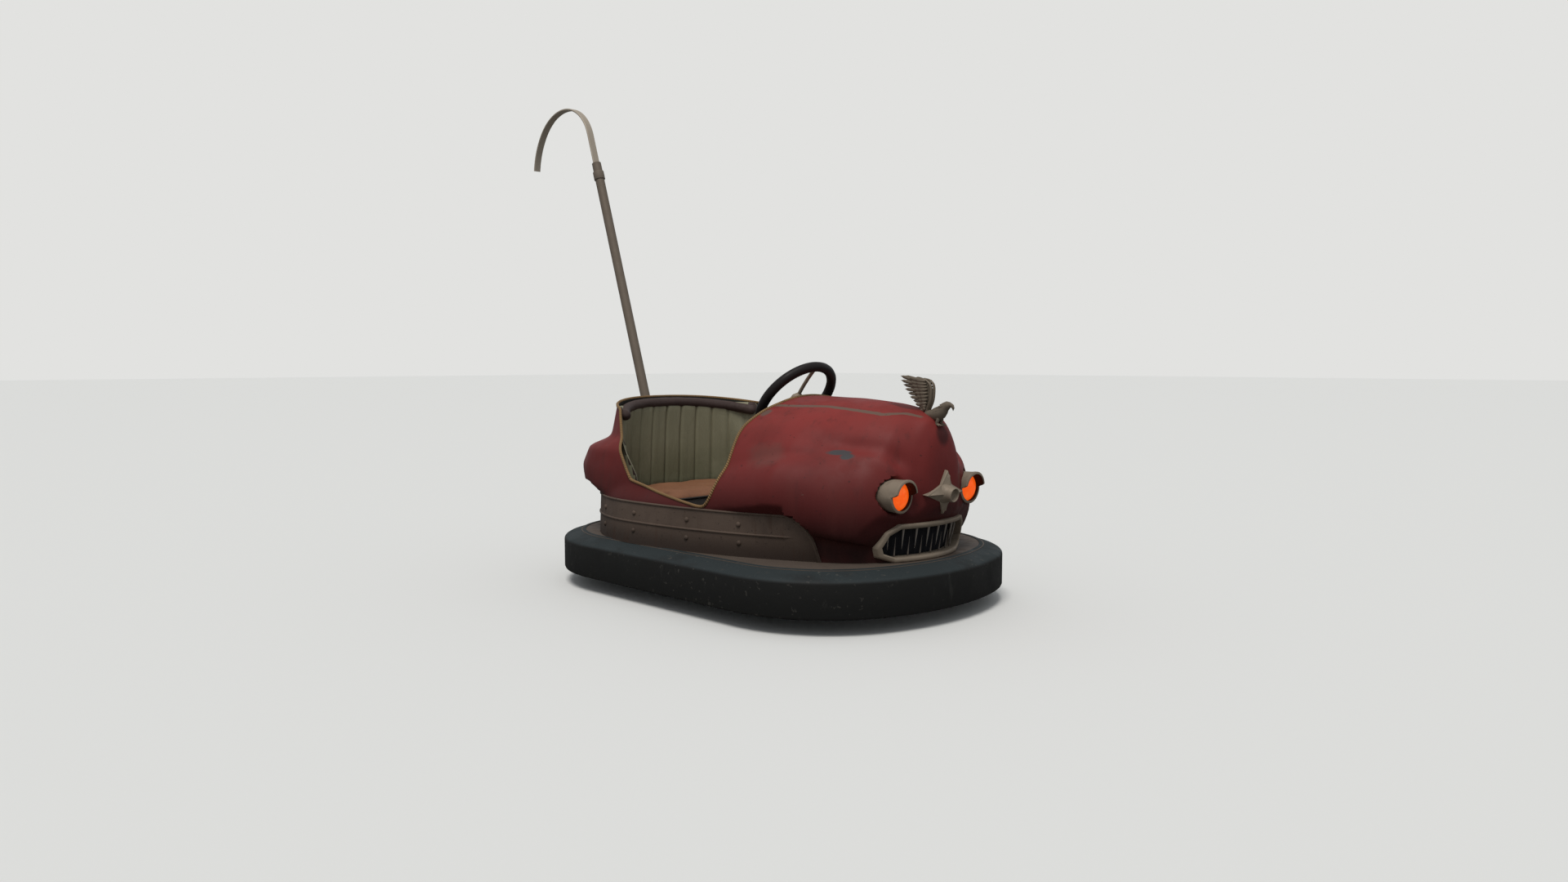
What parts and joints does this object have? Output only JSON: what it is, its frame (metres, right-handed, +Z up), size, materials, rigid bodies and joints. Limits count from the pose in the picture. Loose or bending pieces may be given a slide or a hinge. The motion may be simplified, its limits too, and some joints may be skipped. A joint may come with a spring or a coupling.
{
  "type": "fairground bumper car",
  "caption": "Electric fairground bumper car with a rubber bumper ring, hollow body, bench seat, steered drive wheel and a tall hooked current pole.",
  "frame": {"origin": "on the floor under the centre of the bumper ring", "axes": "+X forward, towards the bonnet; +Y to the driver's left; +Z up"},
  "size_m": [2.706, 1.3, 2.1926],
  "materials": {
    "ring_rubber": "worn matt black rubber",
    "frame_steel": "dark grey chassis paint",
    "deck_metal": "dull beige-brown, scuffed",
    "red_paint": "faded dark red, dusty and worn",
    "band_metal": "brown-grey, dull, riveted",
    "worn_trim": "warm grey-beige, dull",
    "tooth_metal": "grey, dull",
    "dark_panel": "near black, matt",
    "amber_lens": "orange glass, glowing",
    "bird_metal": "grey, dull cast metal",
    "tan_leather": "orange-tan leathercloth, worn",
    "olive_leather": "olive-beige leathercloth with sewn channels",
    "roll_leather": "mauve-brown leathercloth",
    "pole_metal": "grey-brown, dull",
    "hook_metal": "light beige, dull",
    "wheel_plastic": "near black, worn",
    "motor_iron": "dark grey casting",
    "wheel_metal": "grey, dull",
    "tyre_rubber": "solid black rubber"
  },
  "bodies": {
    "car": {"bumper_ring": "ring_rubber", "bumper_hoop": "frame_steel", "chassis_rails": "frame_steel", "cross_members": "frame_steel", "axle_brackets": "frame_steel", "deck_plate": "deck_metal", "body_shell": "red_paint", "skirt_band": "band_metal", "grille_frame": "worn_trim", "grille_back": "dark_panel", "grille_teeth_upper": "tooth_metal", "grille_teeth_lower": "tooth_metal", "lamp_housing_left": "worn_trim", "lamp_housing_right": "worn_trim", "lamp_lens_left": "amber_lens", "lamp_lens_right": "amber_lens", "nose_star": "worn_trim", "bonnet_bird": "bird_metal", "seat_base": "dark_panel", "seat_cushion": "tan_leather", "seat_back": "olive_leather", "back_roll": "roll_leather", "dash_panel": "dark_panel", "column_tube": "frame_steel", "steering_head": "frame_steel", "rear_axle": "frame_steel", "accelerator_pedal": "frame_steel", "pole_socket": "frame_steel", "pole_tube": "pole_metal", "pole_hook": "hook_metal"},
    "steering": {"steering_shaft": "frame_steel", "steering_wheel": "wheel_plastic"},
    "drive_unit": {"drive_fork": "frame_steel", "drive_stem": "frame_steel", "drive_axle": "frame_steel", "drive_motor": "motor_iron"},
    "drive_roller": {"drive_wheel": "wheel_metal", "drive_tyre": "tyre_rubber"},
    "rear_roller_left": {"rear_wheel_left": "wheel_metal", "rear_tyre_left": "tyre_rubber"},
    "rear_roller_right": {"rear_wheel_right": "wheel_metal", "rear_tyre_right": "tyre_rubber"}
  },
  "joints": [
    {"name": "drive_swivel", "type": "hinge", "parent": "car", "child": "drive_unit", "pos_m": [0.5, 0, 0.2], "axis": [0, 0, 1], "range_deg": [-180, 180]},
    {"name": "steering_turn", "type": "hinge", "parent": "car", "child": "steering", "pos_m": [0.125, 0, 0.785], "axis": [-0.7547, 0, 0.6561], "range_deg": [-180, 180]},
    {"name": "drive_spin", "type": "hinge", "parent": "drive_unit", "child": "drive_roller", "pos_m": [0.5, 0, 0.125], "axis": [0, 1, 0], "continuous": true},
    {"name": "rear_left_spin", "type": "hinge", "parent": "car", "child": "rear_roller_left", "pos_m": [-0.45, 0.40185, 0.1], "axis": [0, 1, 0], "continuous": true},
    {"name": "rear_right_spin", "type": "hinge", "parent": "car", "child": "rear_roller_right", "pos_m": [-0.45, -0.40185, 0.1], "axis": [0, 1, 0], "continuous": true}
  ],
  "couplings": [
    {"joint": "steering_turn", "follows": "drive_swivel", "ratio": 1}
  ]
}
